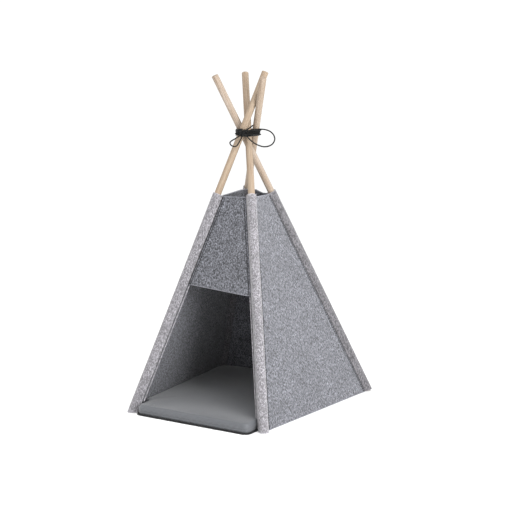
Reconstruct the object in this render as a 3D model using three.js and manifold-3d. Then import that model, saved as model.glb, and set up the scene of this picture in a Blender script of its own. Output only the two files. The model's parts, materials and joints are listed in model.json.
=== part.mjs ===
// Small felt teepee: four lashed poles in felt sleeves, felt walls with a doorway, and a floor cushion.
// Millimetres, +Z up, origin on the floor under the middle of the base, -Y is the doorway side.
import * as THREE from 'three';
import { mergeVertices } from 'three/addons/utils/BufferGeometryUtils.js';
import Module from 'manifold-3d';

const wasm = await Module();
wasm.setup();

// Frame of poles
const FRONT_FOOT_HALF_WIDTH = 171.6;
const BACK_FOOT_HALF_WIDTH = 208;
const FOOT_HALF_DEPTH = 226.8;
const CROSSING_HEIGHT = 645;
const POLE_DIAMETER = 16;
const POLE_CHAMFER = 1;
const POLE_TO_POLE_GAP = 1;
const POLE_FACETS = 24;

// Felt
const FELT = 2.5;
const POLE_TO_SLEEVE_GAP = 0.35;
const SLEEVE_FOOT_SETBACK = 3;
const SLEEVE_TOP_HEIGHT = 494;
const WALL_TOP_HEIGHT = 489;
const DOORWAY_HEIGHT_LEFT = 288;
const DOORWAY_HEIGHT_RIGHT = 275;
const WALL_TO_SLEEVE_GAP = 3;
const WALL_ROWS = 8;

// Floor cushion
const CUSHION_BASE_THICKNESS = 2;
const CUSHION_TOP_HEIGHT = 23;
const CUSHION_FRONT_OVERHANG = 25;
const CUSHION_FRONT_SKEW = 11;
const CUSHION_TO_SLEEVE_GAP = 1;
const CUSHION_TO_WALL_GAP = 1.6;
const CUSHION_BEHIND_FOOT = 25;
const CUSHION_FRONT_RADIUS = 14;
const CUSHION_SHOULDER_DEPTH = 9;
const CUSHION_SHOULDER_RADIUS = 4;
const CUSHION_BACK_RADIUS = 28;
const CUSHION_BASE_LIP = 5;
const COVER_WALL = 2;
const TOUCH_GAP = 0.3;

// Zip in the back edge of the cushion cover
const ZIP_LENGTH = 160;
const ZIP_WIDTH = 6;
const ZIP_SLIDER = [9, 3, 7];

// Lashing
const CORD_DIAMETER = 3;
const LASHING_BELOW_CROSSING = 11;
const LASHING_HEIGHT = CROSSING_HEIGHT - LASHING_BELOW_CROSSING;
const LASHING_TURNS = 4;
const LASHING_PITCH = 3.8;
const LASHING_STEPS_PER_TURN = 20;
const LASHING_SLANT_ALLOWANCE = 2;
const KNOT_AZIMUTH = THREE.MathUtils.degToRad(30);
const KNOT_ACROSS = -11;
const KNOT_RADII = [8.5, 6, 9];

// Each pole: the side and end of the base where it stands, its length above the crossing, and
// where its axis passes the middle of the frame at the crossing height, in pole diameters, so that
// the four lie beside each other.
const POLES = {
  front_left: { side: -1, end: -1, above: 139, crossing: [-0.056, -1.019] },
  front_right: { side: 1, end: -1, above: 138, crossing: [0.031, 0.113] },
  back_right: { side: 1, end: 1, above: 134, crossing: [-1.138, -0.194] },
  back_left: { side: -1, end: 1, above: 127, crossing: [0.819, 1.113] },
};

// Bow of the lashing cord, as points [across the front, up, out] from the middle of the knot.
const BOW_LOOPS = {
  bow_loop_left: [
    [-9.5, -9, -2.5], [-17, -13.5, -0.5], [-25, -18, 0.5], [-29, -22.5, 1], [-27, -27.5, 1.5],
    [-20.5, -31, 1.5], [-14, -30, 1], [-9.5, -24, 0], [-5.5, -17, -1.5],
    [-2.5, -11.4, -2.5],
  ],
  bow_loop_right: [
    [9.8, 2, 0.5], [19, 6.5, 3], [30, 8, 4], [42, 8.5, 3.5], [54, 7, 3],
    [64, 2.5, 2.5], [71, -5, 2.5], [73.5, -14.5, 2.5], [69, -24.5, 3], [60, -30, 3.5],
    [48.5, -31.5, 4], [37, -28.5, 4], [26, -23, 3.5], [17, -15.5, 2.5],
    [9.4, -7, 0.5],
  ],
};
const KNOT_TAIL = [[5.5, 7.6, 0], [10, 11.5, 2], [17, 15.5, 5], [24, 18, 6.5]];

const COLORS = {
  wood: 0xd9bfa6, felt: 0x85878c, sleeve: 0x98979b, cover: 0x5f6064, base: 0x161616,
  foam: 0xe6dfcf, cord: 0x101010, metal: 0x8d8f92,
};

function material(color, roughness, metalness = 0) {
  return new THREE.MeshStandardMaterial({ color, roughness, metalness });
}

const WOOD = material(COLORS.wood, 0.65);
const WALL_FELT = material(COLORS.felt, 0.95);
const SLEEVE_FELT = material(COLORS.sleeve, 0.95);
const COVER = material(COLORS.cover, 0.8);
const BASE = material(COLORS.base, 0.9);
const FOAM = material(COLORS.foam, 0.95);
const CORD = material(COLORS.cord, 0.7);
const METAL = material(COLORS.metal, 0.35, 0.9);

const group = new THREE.Group();

function add(name, geometry, mat, parent = group) {
  const mesh = new THREE.Mesh(geometry, mat);
  mesh.name = name;
  parent.add(mesh);
  return mesh;
}

// A pole's foot centre stands off the floor so that the lowest point of its square-cut end
// touches the floor.
function poleLine({ side, end, above }, through) {
  const halfWidth = end < 0 ? FRONT_FOOT_HALF_WIDTH : BACK_FOOT_HALF_WIDTH;
  const foot = new THREE.Vector3(side * halfWidth, end * FOOT_HALF_DEPTH, 0);
  const reach = Math.hypot(through.x - foot.x, through.y - foot.y);
  foot.z = (POLE_DIAMETER / 2) * Math.sin(Math.atan(reach / CROSSING_HEIGHT));
  const direction = through.clone().sub(foot).normalize();
  const length = foot.distanceTo(through) + above;
  return { foot, direction, length };
}

// The shortest way from one pole's axis to another's.
function betweenAxes(a, b) {
  const square = new THREE.Vector3().crossVectors(a.direction, b.direction).normalize();
  return square.multiplyScalar(square.dot(b.foot.clone().sub(a.foot)));
}

// Two poles that would run into each other are pushed apart at the crossing, a little at a time,
// until all four lie beside each other.
const SPREAD_ROUNDS = 200;

function placePoles() {
  const names = Object.keys(POLES);
  const through = names.map((name) => {
    const [x, y] = POLES[name].crossing.map((share) => share * POLE_DIAMETER);
    return new THREE.Vector3(x, y, CROSSING_HEIGHT);
  });
  const line = (i) => poleLine(POLES[names[i]], through[i]);
  for (let round = 0; round < SPREAD_ROUNDS; round += 1) {
    for (let i = 1; i < names.length; i += 1) {
      for (let j = 0; j < i; j += 1) {
        const apart = betweenAxes(line(i), line(j));
        const short = POLE_DIAMETER + POLE_TO_POLE_GAP - apart.length();
        const push = apart.setLength(Math.max(short, 0) / 2).setZ(0);
        through[i].sub(push);
        through[j].add(push);
      }
    }
  }
  return Object.fromEntries(names.map((name, i) => [name, line(i)]));
}

const lines = placePoles();

function pointAtHeight({ foot, direction }, height) {
  return foot.clone().addScaledVector(direction, (height - foot.z) / direction.z);
}

// Local frame on a pole: z up the pole, y away from the middle of the tent, x across.
function poleFrame({ foot, direction }, along = 0) {
  const outward = new THREE.Vector3(Math.sign(foot.x), Math.sign(foot.y), 0).normalize();
  outward.addScaledVector(direction, -outward.dot(direction)).normalize();
  const across = new THREE.Vector3().crossVectors(outward, direction);
  const frame = new THREE.Matrix4().makeBasis(across, outward, direction);
  return frame.setPosition(foot.clone().addScaledVector(direction, along));
}

function addPole(name, line) {
  const radius = POLE_DIAMETER / 2;
  const profile = [
    [0, 0], [radius - POLE_CHAMFER, 0], [radius, POLE_CHAMFER],
    [radius, line.length - POLE_CHAMFER], [radius - POLE_CHAMFER, line.length], [0, line.length],
  ].map(([r, y]) => new THREE.Vector2(r, y));
  const geometry = new THREE.LatheGeometry(profile, POLE_FACETS).rotateX(Math.PI / 2);
  add(`pole_${name}`, geometry, WOOD).applyMatrix4(poleFrame(line));
}

// The sleeve is a closed tunnel of felt round its pole: half round on the outside of the corner,
// and square towards the middle of the tent, where the two neighbouring walls meet it.
const SLEEVE_INNER_RADIUS = POLE_DIAMETER / 2 + POLE_TO_SLEEVE_GAP;
const SLEEVE_OUTER_RADIUS = SLEEVE_INNER_RADIUS + FELT;

function sleeveOutline(outline, radius) {
  outline.moveTo(radius, -radius);
  outline.lineTo(radius, 0);
  outline.absarc(0, 0, radius, 0, Math.PI, false);
  outline.lineTo(-radius, -radius);
  outline.closePath();
  return outline;
}

function addSleeve(name, line) {
  const top = (SLEEVE_TOP_HEIGHT - line.foot.z) / line.direction.z;
  const section = sleeveOutline(new THREE.Shape(), SLEEVE_OUTER_RADIUS);
  section.holes.push(sleeveOutline(new THREE.Path(), SLEEVE_INNER_RADIUS));
  const depth = top - SLEEVE_FOOT_SETBACK;
  const options = { depth, bevelEnabled: false, curveSegments: 12 };
  const geometry = new THREE.ExtrudeGeometry(section, options);
  add(`sleeve_${name}`, geometry, SLEEVE_FELT).applyMatrix4(poleFrame(line, SLEEVE_FOOT_SETBACK));
}

// A wall is a thin slab on the ruled surface between two poles, from the inner corner of one
// sleeve to that of the next. Its lower edge may slant from bottomA to bottomB.
const WALL_START = SLEEVE_OUTER_RADIUS * Math.SQRT2 + WALL_TO_SLEEVE_GAP;

function wallGeometry(lineA, lineB, bottomA, bottomB) {
  const geometry = new THREE.BoxGeometry(1, 1, 1, 1, WALL_ROWS, 1);
  const position = geometry.attributes.position;
  for (let i = 0; i < position.count; i += 1) {
    const bottom = position.getX(i) < 0 ? bottomA : bottomB;
    const height = THREE.MathUtils.lerp(bottom, WALL_TOP_HEIGHT, position.getY(i) + 0.5);
    const a = pointAtHeight(lineA, height);
    const b = pointAtHeight(lineB, height);
    const along = b.clone().sub(a).normalize();
    const slope = lineA.direction.clone().add(lineB.direction);
    const normal = new THREE.Vector3().crossVectors(along, slope).normalize();
    const point = position.getX(i) < 0 ? a.addScaledVector(along, WALL_START)
      : b.addScaledVector(along, -WALL_START);
    const offset = normal.multiplyScalar(position.getZ(i) * FELT);
    point.add(new THREE.Vector3(offset.x, offset.y, 0));
    position.setXYZ(i, point.x, point.y, point.z);
  }
  geometry.computeVertexNormals();
  return geometry;
}

function addWalls() {
  const { front_left: fl, front_right: fr, back_right: br, back_left: bl } = lines;
  add('panel_front', wallGeometry(fl, fr, DOORWAY_HEIGHT_LEFT, DOORWAY_HEIGHT_RIGHT), WALL_FELT);
  add('panel_right', wallGeometry(fr, br, 0, 0), WALL_FELT);
  add('panel_back', wallGeometry(br, bl, 0, 0), WALL_FELT);
  add('panel_left', wallGeometry(bl, fl, 0, 0), WALL_FELT);
}

// Outline of the cushion seen from above. It overhangs the doorway between the front feet,
// widens behind them, and fills the base as far as the leaning walls allow.
const SLEEVE_REACH = SLEEVE_OUTER_RADIUS * Math.SQRT2;
const FRONT_TOP = pointAtHeight(lines.front_right, CUSHION_TOP_HEIGHT);
const BACK_TOP = pointAtHeight(lines.back_right, CUSHION_TOP_HEIGHT);
const WALL_INSIDE = FELT / 2 + CUSHION_TO_WALL_GAP;
const FRONT_HALF = FRONT_TOP.x - SLEEVE_REACH - CUSHION_TO_SLEEVE_GAP;
const BACK_HALF = BACK_TOP.x - WALL_INSIDE;
const BACK_EDGE = BACK_TOP.y - FELT / 2 - ZIP_SLIDER[1] - 2 * TOUCH_GAP;
const BEHIND_FOOT = -FOOT_HALF_DEPTH + SLEEVE_REACH + CUSHION_BEHIND_FOOT;

function cushionCorners(grow) {
  const front = -FOOT_HALF_DEPTH - CUSHION_FRONT_OVERHANG - grow;
  const share = (BEHIND_FOOT - FRONT_TOP.y) / (BACK_TOP.y - FRONT_TOP.y);
  const behind = THREE.MathUtils.lerp(FRONT_TOP.x, BACK_TOP.x, share) - WALL_INSIDE + grow;
  const shoulder = BEHIND_FOOT - CUSHION_SHOULDER_DEPTH;
  return [
    [-FRONT_HALF - grow, front + CUSHION_FRONT_SKEW, CUSHION_FRONT_RADIUS + grow],
    [FRONT_HALF + grow, front - CUSHION_FRONT_SKEW, CUSHION_FRONT_RADIUS + grow],
    [FRONT_HALF + grow, shoulder, CUSHION_SHOULDER_RADIUS],
    [behind, BEHIND_FOOT, CUSHION_SHOULDER_RADIUS],
    [BACK_HALF + grow, BACK_EDGE + grow, CUSHION_BACK_RADIUS + grow],
    [-BACK_HALF - grow, BACK_EDGE + grow, CUSHION_BACK_RADIUS + grow],
    [-behind, BEHIND_FOOT, CUSHION_SHOULDER_RADIUS],
    [-FRONT_HALF - grow, shoulder, CUSHION_SHOULDER_RADIUS],
  ];
}

// A closed outline through the corners, each rounded by a curve tangent to both of its sides.
function roundedOutline(corners) {
  const shape = new THREE.Shape();
  corners.forEach(([x, y, radius], i) => {
    const corner = new THREE.Vector2(x, y);
    const before = new THREE.Vector2(...corners.at(i - 1)).sub(corner).setLength(radius).add(corner);
    const after = new THREE.Vector2(...corners[(i + 1) % corners.length]).sub(corner)
      .setLength(radius).add(corner);
    if (i === 0) shape.moveTo(before.x, before.y);
    else shape.lineTo(before.x, before.y);
    shape.quadraticCurveTo(corner.x, corner.y, after.x, after.y);
  });
  shape.closePath();
  return shape;
}

function cushionSlab(grow, bottom, top) {
  const shape = roundedOutline(cushionCorners(grow));
  const options = { depth: top - bottom, bevelEnabled: false, curveSegments: 5 };
  return new THREE.ExtrudeGeometry(shape, options).translate(0, 0, bottom);
}

function toSolid(geometry) {
  const bare = geometry.clone();
  bare.deleteAttribute('normal');
  bare.deleteAttribute('uv');
  const merged = mergeVertices(bare, 1e-4);
  return new wasm.Manifold(new wasm.Mesh({
    numProp: 3,
    vertProperties: new Float32Array(merged.attributes.position.array),
    triVerts: new Uint32Array(merged.index.array),
  }));
}

function toGeometry(solid) {
  const mesh = solid.getMesh();
  const geometry = new THREE.BufferGeometry();
  geometry.setAttribute('position', new THREE.BufferAttribute(mesh.vertProperties, 3));
  geometry.setIndex(new THREE.BufferAttribute(mesh.triVerts, 1));
  geometry.computeVertexNormals();
  return geometry;
}

const COVER_BOTTOM = CUSHION_BASE_THICKNESS + TOUCH_GAP;
const COVER_INNER_BOTTOM = COVER_BOTTOM + COVER_WALL;
const COVER_INNER_TOP = CUSHION_TOP_HEIGHT - COVER_WALL;
const ZIP_HEIGHT = (COVER_BOTTOM + CUSHION_TOP_HEIGHT) / 2;
const ZIP_SLOT_DEPTH = 3 * COVER_WALL;

function zipBox(grow, depth) {
  const width = ZIP_LENGTH + 2 * grow;
  return new THREE.BoxGeometry(width, depth, ZIP_WIDTH + 2 * grow);
}

function addCushion() {
  const base = cushionSlab(CUSHION_BASE_LIP, 0, CUSHION_BASE_THICKNESS);
  add('cushion_base', base, BASE);

  const outer = toSolid(cushionSlab(0, COVER_BOTTOM, CUSHION_TOP_HEIGHT));
  const inner = toSolid(cushionSlab(-COVER_WALL, COVER_INNER_BOTTOM, COVER_INNER_TOP));
  const slot = toSolid(zipBox(TOUCH_GAP, ZIP_SLOT_DEPTH).translate(0, BACK_EDGE, ZIP_HEIGHT));
  add('cushion_cover', toGeometry(outer.subtract(inner).subtract(slot)), COVER);

  const inset = COVER_WALL + TOUCH_GAP;
  const core = cushionSlab(-inset, COVER_INNER_BOTTOM + TOUCH_GAP, COVER_INNER_TOP - TOUCH_GAP);
  add('cushion_core', core, FOAM);

  const zip = add('cushion_zip', zipBox(0, COVER_WALL - TOUCH_GAP), BASE);
  zip.position.set(0, BACK_EDGE - COVER_WALL / 2 + TOUCH_GAP / 2, ZIP_HEIGHT);

  const slider = add('zip_slider', new THREE.BoxGeometry(...ZIP_SLIDER), METAL);
  const sliderX = ZIP_LENGTH / 2 - ZIP_SLIDER[0] / 2;
  slider.position.set(sliderX, BACK_EDGE + TOUCH_GAP + ZIP_SLIDER[1] / 2, ZIP_HEIGHT);
}

// A cord is a round section with eight sides, carried along its path.
function cordGeometry(curve, steps) {
  const section = new THREE.Shape();
  section.absarc(0, 0, CORD_DIAMETER / 2, 0, 2 * Math.PI, false);
  return new THREE.ExtrudeGeometry(section, { steps, extrudePath: curve, curveSegments: 8 });
}

// The cord's turns run taut round the four poles: at each angle the cord touches the pole that
// stands out furthest that way.
const LASHING_FROM_POLE = POLE_DIAMETER / 2 + CORD_DIAMETER / 2 + TOUCH_GAP + LASHING_SLANT_ALLOWANCE;

function lashingPoint(turn) {
  const angle = turn * 2 * Math.PI - KNOT_AZIMUTH;
  const facing = new THREE.Vector3(Math.cos(angle), Math.sin(angle), 0);
  const height = LASHING_HEIGHT + (turn - LASHING_TURNS / 2) * LASHING_PITCH;
  const centres = Object.values(lines).map((line) => pointAtHeight(line, height));
  const furthest = centres.reduce((a, b) => (b.dot(facing) > a.dot(facing) ? b : a));
  return furthest.addScaledVector(facing, LASHING_FROM_POLE);
}

function addLashing() {
  const count = LASHING_TURNS * LASHING_STEPS_PER_TURN;
  const points = Array.from({ length: count + 1 }, (_, i) => lashingPoint(i / LASHING_STEPS_PER_TURN));
  const wrap = new THREE.CatmullRomCurve3(points, false, 'centripetal');
  add('lashing_wrap', cordGeometry(wrap, count), CORD);

  const across = new THREE.Vector3(Math.cos(KNOT_AZIMUTH), Math.sin(KNOT_AZIMUTH), 0);
  const out = new THREE.Vector3(Math.sin(KNOT_AZIMUTH), -Math.cos(KNOT_AZIMUTH), 0);
  const wrapReach = Math.max(...points.map((point) => point.dot(out)));
  const knotOut = wrapReach + CORD_DIAMETER / 2 + TOUCH_GAP + KNOT_RADII[1];
  const bow = new THREE.Group();
  bow.rotation.z = KNOT_AZIMUTH;
  bow.position.addScaledVector(across, KNOT_ACROSS).addScaledVector(out, knotOut);
  bow.position.z = LASHING_HEIGHT;
  group.add(bow);
  const toVector = ([x, up, forward]) => new THREE.Vector3(x, -forward, up);
  const knot = new THREE.SphereGeometry(1, 16, 10).scale(...KNOT_RADII);
  add('lashing_knot', knot, CORD, bow);
  for (const [name, loop] of Object.entries(BOW_LOOPS)) {
    const curve = new THREE.CatmullRomCurve3(loop.map(toVector), false, 'centripetal');
    add(name, cordGeometry(curve, 24), CORD, bow);
  }
  const tail = new THREE.CatmullRomCurve3(KNOT_TAIL.map(toVector), false, 'centripetal');
  add('knot_tail', cordGeometry(tail, 6), CORD, bow);
}

for (const [name, line] of Object.entries(lines)) {
  addPole(name, line);
  addSleeve(name, line);
}
addWalls();
addCushion();
addLashing();

export default group;
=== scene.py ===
# The looks of a small felt teepee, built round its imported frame: dowels, felt walls and sleeves,
# a floor cushion and the cord lashing. Metres, +Z up, -Y is the doorway side.
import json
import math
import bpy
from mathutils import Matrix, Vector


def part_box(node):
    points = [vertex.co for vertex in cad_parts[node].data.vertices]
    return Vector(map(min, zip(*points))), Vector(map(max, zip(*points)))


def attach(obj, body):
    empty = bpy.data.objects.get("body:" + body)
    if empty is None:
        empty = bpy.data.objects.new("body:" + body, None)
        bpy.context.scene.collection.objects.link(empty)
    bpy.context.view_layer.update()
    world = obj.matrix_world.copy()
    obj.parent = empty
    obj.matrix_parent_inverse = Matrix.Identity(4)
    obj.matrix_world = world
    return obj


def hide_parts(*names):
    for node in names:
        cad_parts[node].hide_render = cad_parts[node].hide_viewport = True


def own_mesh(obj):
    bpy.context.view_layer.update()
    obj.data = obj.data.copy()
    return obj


bl_info = {
    "name": "Felt Teepee",
    "version": (1, 0, 0),
    "blender": (4, 5, 0),
    "location": "3D View > Sidebar > Teepee",
    "description": "Builds the felt, wood, cushion and cord of a small teepee round its frame",
    "category": "Object",
}

import bmesh
import bpy
import numpy as np
from bpy.props import FloatProperty, FloatVectorProperty, IntProperty, PointerProperty
from mathutils import Vector

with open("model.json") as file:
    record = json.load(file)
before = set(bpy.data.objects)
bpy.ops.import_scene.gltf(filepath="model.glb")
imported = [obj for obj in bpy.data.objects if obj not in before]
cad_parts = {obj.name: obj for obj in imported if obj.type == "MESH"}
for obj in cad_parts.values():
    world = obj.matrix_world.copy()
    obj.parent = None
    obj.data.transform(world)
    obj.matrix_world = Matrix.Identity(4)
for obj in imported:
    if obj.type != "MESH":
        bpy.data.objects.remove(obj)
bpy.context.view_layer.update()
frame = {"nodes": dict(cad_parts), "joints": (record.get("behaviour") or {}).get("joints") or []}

MM = 0.001
CORNERS = ("front_left", "front_right", "back_right", "back_left")
SIDE_BODY = {"left": "left_side", "right": "right_side"}
# How much of its width each soft piece would keep with both sides folded in; nothing is folded here, and a
# wall's value only gives its pieces their own meshes
FRONT_KEEP, BACK_KEEP, CUSHION_KEEP = 0.32, 0.475, 0.42
# The lowest that felt reaches, so that it lies on the floor and not in it
FLOOR_GAP = 0.1 * MM


# ---------------------------------------------------------------- the frame

def node_points(node):
    """The corner points of a CAD node, one row each."""
    mesh = frame["nodes"][node].data
    points = np.empty(len(mesh.vertices) * 3, np.float32)
    mesh.vertices.foreach_get("co", points)
    return points.reshape(-1, 3).astype(float)


def unit(vectors):
    """Vectors divided by their own length."""
    return vectors / np.linalg.norm(vectors, axis=-1, keepdims=True)


def read_pole(corner):
    """A pole's axis: its foot, its top and three directions, one up the pole, one away from the
    tent at its corner and one across. The slide joint gives the way up, and the middle of the
    node's extent in the other two gives the line."""
    joint = next(j for j in frame["joints"] if j["name"] == f"draw_{corner}")
    up = unit(np.array(joint["axis"], float))
    points = node_points(f"pole_{corner}")
    middle = points.mean(0)
    outward = unit(np.array([np.sign(-up[0]), np.sign(-up[1]), 0.0]))
    outward = unit(outward - (outward @ up) * up)
    across = np.cross(outward, up)
    local = (points - middle) @ np.array([across, outward, up]).T
    centre = (local.min(0) + local.max(0)) / 2
    line = middle + centre[0] * across + centre[1] * outward
    return {
        "corner": corner, "up": up, "outward": outward, "across": across,
        "foot": line + local[:, 2].min() * up, "top": line + local[:, 2].max() * up,
        "radius": (local[:, 0].max() - local[:, 0].min()) / 2,
    }


def at_height(pole, height):
    """Points on a pole's axis: its foot plus its direction times the climb over its rise."""
    climb = (np.asarray(height, float) - pole["foot"][2]) / pole["up"][2]
    return pole["foot"] + climb[..., None] * pole["up"]


POLES = {corner: read_pole(corner) for corner in CORNERS}


# ---------------------------------------------------------------- settings

def length(name, default, description):
    return FloatProperty(
        name=name, description=description, default=default * MM, unit="LENGTH", precision=5)


def linear(code):
    """An sRGB hex colour as linear red, green and blue."""
    channels = np.array([int(code[i:i + 2], 16) for i in (1, 3, 5)]) / 255
    bright = ((channels + 0.055) / 1.055) ** 2.4
    return [float(c) for c in np.where(channels <= 0.04045, channels / 12.92, bright)]


def colour(name, code, description):
    return FloatVectorProperty(
        name=name, description=description, default=linear(code), size=3, subtype="COLOR", min=0, max=1)


class TEEPEE_PG_felt(bpy.types.PropertyGroup):
    thickness: length("Felt thickness", 2.5, "Thickness of the wall and sleeve felt")
    groove: length("Seam groove", 1.0, "Open groove between a sleeve and the edge of a wall")
    stitch_inset: length("Stitch inset", 3.4, "From a wall's edge to its row of stitches")
    stitch_length: length("Stitch length", 5.2, "Length of one stitch")
    stitch_pitch: length("Stitch pitch", 5.9, "From one stitch to the next")
    back_rise: length("Back rise", 7, "How much higher the felt stands at the back left pole")
    bow: length("Wall bow", 2.2, "How far a wall's middle bows in or out")
    wall: colour("Wall grey", "#5A5B61", "Middle tone of the wall felt")
    sleeve: colour("Sleeve grey", "#7A787C", "Middle tone of the sleeve felt")
    # The thread colour also paints the dark line in each seam's groove, which is painted shade
    thread: colour("Thread", "#111114", "Sewing thread")


class TEEPEE_PG_wood(bpy.types.PropertyGroup):
    end_round: length("End rounding", 1.6, "Radius of the sanded edge at a dowel's ends")
    pale: colour("Pale wood", "#A89B8E", "Early wood")
    dark: colour("Grain", "#806B57", "Late wood and streaks")
    knot: colour("Knot", "#58402C", "Small knots")


class TEEPEE_PG_cushion(bpy.types.PropertyGroup):
    crown: length("Crown", 2.6, "How far the middle stands above the edge of the top")
    edge_round: length("Edge rounding", 7, "Radius of the cushion's upper edge")
    bulge: length("Side bulge", 1.6, "How far the boxed side swells")
    cover: colour("Cover", "#5E6064", "Cushion cover cloth")
    base: colour("Base", "#17171A", "Non-slip base cloth")


class TEEPEE_PG_cord(bpy.types.PropertyGroup):
    diameter: length("Cord diameter", 3, "Braided lashing cord")
    turns: IntProperty(name="Turns", description="Level turns round the poles", default=5, min=2, max=8)
    dye: colour("Cord", "#060607", "Black cord")


class TEEPEE_PG_stage(bpy.types.PropertyGroup):
    azimuth: FloatProperty(name="Azimuth", description="Camera's way round the tent, degrees", default=29.97)
    elevation: FloatProperty(
        name="Elevation", description="Camera's angle above the floor, degrees", default=6.82)
    distance: length("Distance", 3000, "Camera to the middle of the tent")
    aim: length("Aim height", 403.4, "Height that the camera looks at")
    lens: FloatProperty(name="Lens", description="Focal length in millimetres", default=90.8)
    shift_x: FloatProperty(name="Shift X", description="Sideways lens shift", default=0.0139)
    shift_y: FloatProperty(name="Shift Y", description="Upward lens shift", default=-0.046)
    floor: colour("Floor", "#FAFAFA", "Pale studio floor")
    sky: FloatProperty(name="Fill light", description="Strength of the white surround", default=1.08)
    key: FloatProperty(
        name="Key light", description="Power that the lamps take their shares of, watts", default=60)


class TEEPEE_PG_settings(bpy.types.PropertyGroup):
    felt: PointerProperty(type=TEEPEE_PG_felt)
    wood: PointerProperty(type=TEEPEE_PG_wood)
    cushion: PointerProperty(type=TEEPEE_PG_cushion)
    cord: PointerProperty(type=TEEPEE_PG_cord)
    stage: PointerProperty(type=TEEPEE_PG_stage)


def settings():
    return bpy.context.scene.teepee


# ---------------------------------------------------------------- meshes

def make_piece(name, points, faces, material, attributes=None, crease=None, uv=None):
    """A mesh object at the origin. points is one row per corner, faces a list of index tables, each
    with one row per face; attributes is {name: one number or three per point}. Faces are turned
    outwards, and edges that bend more than crease degrees stay sharp."""
    mesh = bpy.data.meshes.new(name)
    loops = np.concatenate([table.ravel() for table in faces]).astype(np.int32)
    sizes = np.concatenate([np.full(len(table), table.shape[1]) for table in faces])
    starts = np.concatenate([[0], np.cumsum(sizes)[:-1]]).astype(np.int32)
    mesh.vertices.add(len(points))
    mesh.vertices.foreach_set("co", np.asarray(points, np.float32).ravel())
    mesh.loops.add(len(loops))
    mesh.loops.foreach_set("vertex_index", loops)
    mesh.polygons.add(len(sizes))
    mesh.polygons.foreach_set("loop_start", starts)
    mesh.update(calc_edges=True)
    for key, values in (attributes or {}).items():
        values = np.asarray(values, np.float32)
        kind, field = ("FLOAT", "value") if values.ndim == 1 else ("FLOAT_VECTOR", "vector")
        mesh.attributes.new(key, kind, "POINT").data.foreach_set(field, values.ravel())
    if uv is not None:
        layer = mesh.uv_layers.new(name="UVMap")
        layer.data.foreach_set("uv", np.asarray(uv, np.float32)[loops].ravel())
    solid = bmesh.new()
    solid.from_mesh(mesh)
    bmesh.ops.recalc_face_normals(solid, faces=solid.faces)
    solid.to_mesh(mesh)
    solid.free()
    mesh.shade_smooth()
    if crease:
        mesh.set_sharp_from_angle(angle=math.radians(crease))
    mesh.materials.append(material)
    piece = bpy.data.objects.new(name, mesh)
    bpy.context.scene.collection.objects.link(piece)
    return piece


def grid_faces(rows, columns, wrap=True, start=0):
    """Four-sided faces over a grid of points, numbered row by row, joined round if wrap is set."""
    last = columns if wrap else columns - 1
    row, column = np.meshgrid(np.arange(rows - 1), np.arange(last), indexing="ij")
    after = (column + 1) % columns
    quads = [row * columns + column, row * columns + after,
             (row + 1) * columns + after, (row + 1) * columns + column]
    return start + np.stack(quads, -1).reshape(-1, 4)


def fan_faces(ring, centre):
    """Triangles from a centre point to each edge of a ring of points."""
    return np.stack([ring, np.roll(ring, -1), np.full(len(ring), centre)], -1)


def closed_ends(rows, sides):
    """The faces of a turned form: a grid of rows, and a fan at each end to one of two last points."""
    first, count = np.arange(sides), rows * sides
    return [grid_faces(rows, sides), fan_faces(first, count), fan_faces(count - sides + first, count + 1)]


def closed_strip(rows, sides):
    """The faces of a prism: a grid of rows, and one flat face at each end."""
    end = np.arange(sides)[None]
    return [grid_faces(rows, sides), end, end + (rows - 1) * sides]


def tube(path, radius, sides, ridge=0.0, lay=None, closed=False):
    """A round tube: at each point of the path, a ring square to it, in a frame that turns as
    little as it can. Its radius swells by ridge in the criss-cross of a braid: the product of two
    cosine waves that wind opposite ways round it. Ends are closed by rounded caps."""
    path = np.asarray(path, float)
    forward = unit(np.roll(path, -1, 0) - np.roll(path, 1, 0) if closed else np.gradient(path, axis=0))
    side = np.empty_like(forward)
    start = np.array([0.0, 0.0, 1.0]) if abs(forward[0, 2]) < 0.8 else np.array([1.0, 0.0, 0.0])
    for i, way in enumerate(forward):
        start = start - (start @ way) * way
        side[i] = start = start / np.linalg.norm(start)
    other = np.cross(forward, side)
    along = np.concatenate([[0], np.cumsum(np.linalg.norm(np.diff(path, axis=0), axis=1))])
    angle = np.linspace(0, 2 * np.pi, sides, endpoint=False)
    size = np.full((len(path), sides), radius, float)
    if ridge:
        winding = 2 * np.pi * along[:, None] / (lay or 4 * radius)
        size *= 1 + ridge * np.cos(3 * angle + winding) * np.cos(3 * angle - winding)
    if not closed:
        inside = np.minimum(along, along[-1] - along)[:, None] / radius
        size *= np.sqrt(np.clip(1 - (1 - np.clip(inside, 0, 1)) ** 2, 0.04, 1))
    ring = np.cos(angle)[:, None] * side[:, None] + np.sin(angle)[:, None] * other[:, None]
    points = (path[:, None] + size[..., None] * ring).reshape(-1, 3)
    uv = np.stack(np.broadcast_arrays(angle / (2 * np.pi), along[:, None]), -1).reshape(-1, 2)
    if closed:
        joint = grid_faces(2, sides)
        joint = np.where(joint >= sides, joint - sides, joint + (len(path) - 1) * sides)
        return points, [grid_faces(len(path), sides), joint], uv
    points = np.concatenate([points, path[:1], path[-1:]])
    uv = np.concatenate([uv, [[0, 0], [0, along[-1]]]])
    return points, closed_ends(len(path), sides), uv


def joined(parts):
    """Several (points, faces, uv) shapes as one."""
    points, uv, faces, start = [], [], [], 0
    for part_points, part_faces, part_uv in parts:
        points.append(part_points)
        uv.append(part_uv)
        faces += [table + start for table in part_faces]
        start += len(part_points)
    return np.concatenate(points), faces, np.concatenate(uv)


def evenly(path, gap):
    """The same line with its points a gap apart."""
    path = np.asarray(path, float)
    along = np.concatenate([[0], np.cumsum(np.linalg.norm(np.diff(path, axis=0), axis=1))])
    stops = np.linspace(0, along[-1], max(4, int(round(along[-1] / gap)) + 1))
    return np.stack([np.interp(stops, along, path[:, i]) for i in range(3)], -1)


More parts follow.
